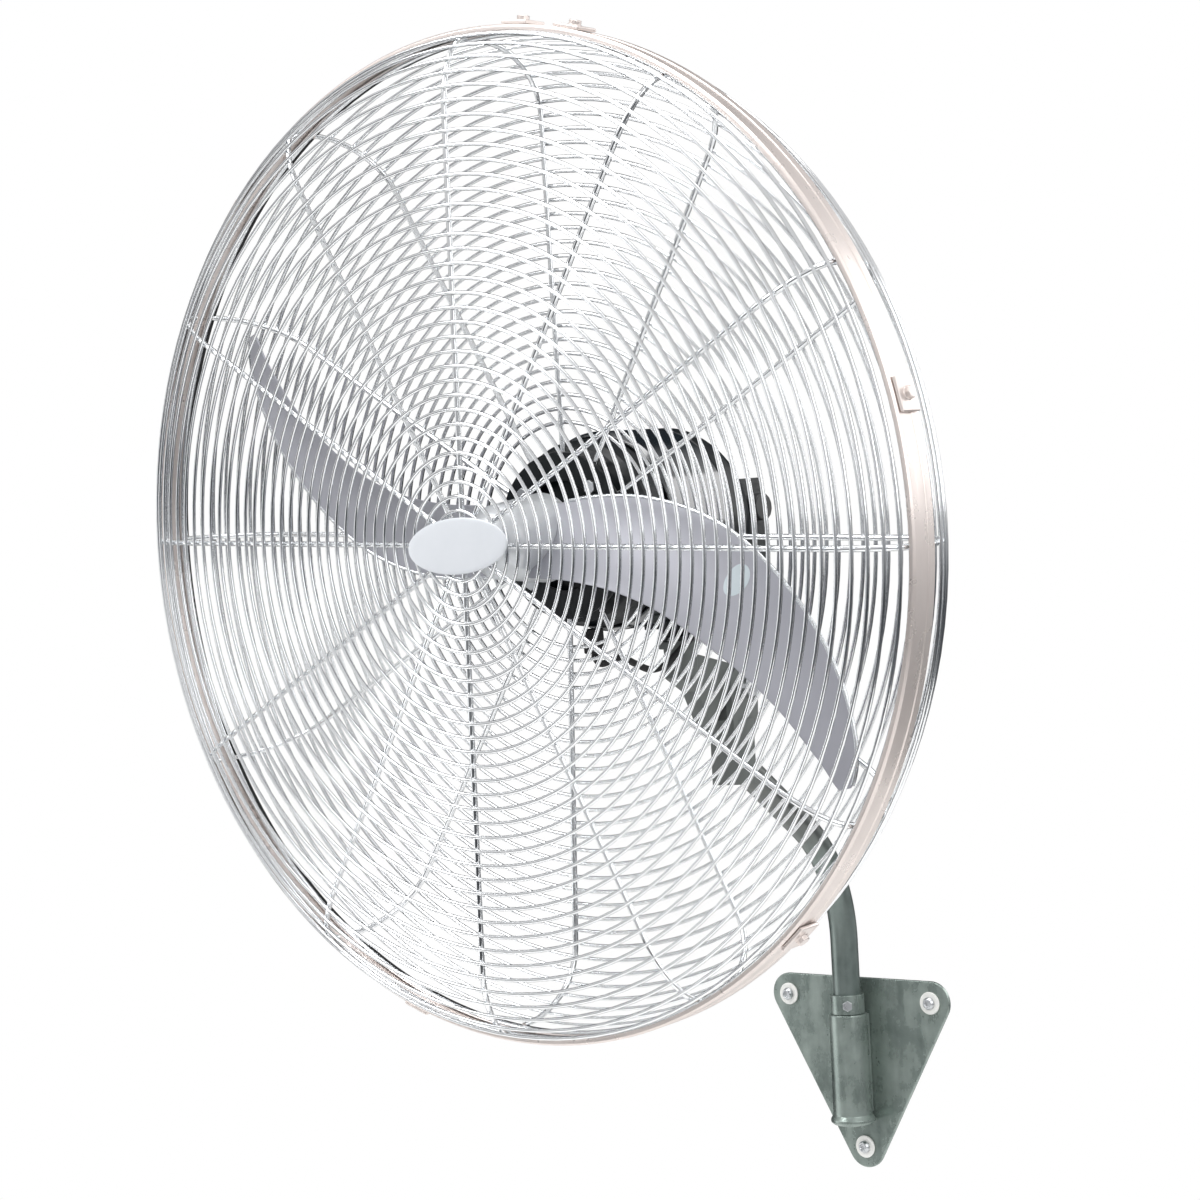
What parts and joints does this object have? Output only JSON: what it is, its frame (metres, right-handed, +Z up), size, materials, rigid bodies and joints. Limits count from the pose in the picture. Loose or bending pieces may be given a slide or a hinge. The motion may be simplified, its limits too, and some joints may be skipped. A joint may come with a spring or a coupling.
{
  "type": "wall mounted fan",
  "caption": "Industrial wall fan: a round wire cage with swept blades and a black motor, on a neck that tilts and swings, a bent swivel arm and a triangular wall plate.",
  "frame": {"origin": "back face of the wall plate, on its centre line, midway in height between the two upper holes and the lower one", "axes": "+Y into the wall, +Z up, +X to the right as seen from the room"},
  "size_m": [0.8144, 0.5473, 0.9994],
  "materials": {
    "cage_chrome": "polished",
    "rim_steel": "polished",
    "blade_alloy": "satin",
    "hub_alloy": "polished",
    "motor_black": "gloss",
    "knob_black": "satin",
    "neck_grey": "satin",
    "bracket_grey": "satin",
    "zinc_bright": "satin",
    "washer_white": "satin",
    "badge_grey": "satin",
    "plain_steel": "satin",
    "capacitor_can": "satin",
    "lamination_steel": "matte",
    "winding_copper": "satin",
    "gear_brass": "satin",
    "rubber_black": "matte"
  },
  "bodies": {
    "wall_bracket": {"wall_plate": "bracket_grey", "wall_washer_1": "washer_white", "wall_washer_2": "washer_white", "wall_washer_3": "washer_white", "wall_bolt_1": "zinc_bright", "wall_bolt_2": "zinc_bright", "wall_bolt_3": "zinc_bright", "arm_socket": "bracket_grey"},
    "arm": {"arm_tube": "bracket_grey", "arm_collar": "bracket_grey", "collar_screw": "zinc_bright", "arm_clevis": "neck_grey", "tilt_bolt": "zinc_bright"},
    "wing_nut": {"wing_nut": "zinc_bright"},
    "neck": {"neck": "neck_grey"},
    "swing_link": {"swing_link": "plain_steel"},
    "head": {"front_guard_ribs": "cage_chrome", "front_guard_wire": "cage_chrome", "rear_guard_ribs": "cage_chrome", "rear_guard_wire": "cage_chrome", "rim_band": "rim_steel", "rim_clip_1": "rim_steel", "rim_clip_2": "rim_steel", "rim_clip_3": "rim_steel", "rim_clip_4": "rim_steel", "rim_clip_5": "rim_steel", "rim_clip_6": "rim_steel", "rim_clip_7": "rim_steel", "front_badge": "badge_grey", "guard_clamp_ring": "motor_black", "guard_screw_1": "zinc_bright", "guard_screw_2": "zinc_bright", "guard_screw_3": "zinc_bright", "guard_screw_4": "zinc_bright", "motor_front_bell": "motor_black", "motor_housing": "motor_black", "motor_rear_bell": "motor_black", "bearing_front": "plain_steel", "bearing_rear": "plain_steel", "stator_core": "lamination_steel", "winding_front": "winding_copper", "winding_rear": "winding_copper", "gear_case": "motor_black", "gear_cover": "motor_black", "capacitor": "capacitor_can", "lead_gland_front": "rubber_black", "lead_gland_rear": "rubber_black", "motor_lead": "rubber_black"},
    "rotor": {"rotor_shaft": "plain_steel", "rotor_core": "lamination_steel", "worm": "plain_steel", "hub": "hub_alloy", "blade_1": "blade_alloy", "blade_2": "blade_alloy"},
    "swing_gear": {"worm_wheel": "gear_brass", "crank": "plain_steel"},
    "swing_knob": {"swing_knob": "knob_black"}
  },
  "joints": [
    {"name": "arm_swivel", "type": "hinge", "parent": "wall_bracket", "child": "arm", "pos_m": [0, -0.0228, 0.059], "axis": [0, 0, 1], "range_deg": [-40, 40]},
    {"name": "head_tilt", "type": "hinge", "parent": "arm", "child": "neck", "pos_m": [0, -0.18, 0.376], "axis": [1, 0, 0], "range_deg": [-20, 20]},
    {"name": "tilt_nut_turn", "type": "hinge", "parent": "arm", "child": "wing_nut", "pos_m": [0.021, -0.18, 0.376], "axis": [1, 0, 0], "range_deg": [-180, 180]},
    {"name": "head_swing", "type": "hinge", "parent": "neck", "child": "head", "pos_m": [0, -0.24956, 0.42091], "axis": [0, -0.075, 0.9972], "range_deg": [-45, 45]},
    {"name": "link_turn", "type": "hinge", "parent": "neck", "child": "swing_link", "pos_m": [-0.017, -0.24956, 0.42091], "axis": [0, -0.075, 0.9972], "range_deg": [-25, 25]},
    {"name": "rotor_spin", "type": "hinge", "parent": "head", "child": "rotor", "pos_m": [0, -0.45002, 0.50612], "axis": [0, 0.9972, 0.075], "continuous": true},
    {"name": "swing_gear_turn", "type": "hinge", "parent": "head", "child": "swing_gear", "pos_m": [-0.028, -0.21717, 0.52363], "axis": [0, -0.075, 0.9972], "continuous": true},
    {"name": "knob_push", "type": "slide", "parent": "head", "child": "swing_knob", "axis": [1, 0, 0], "range_m": [-0.005, 0]}
  ],
  "couplings": [
    {"joint": "swing_gear_turn", "follows": "rotor_spin", "ratio": 0.055556}
  ]
}
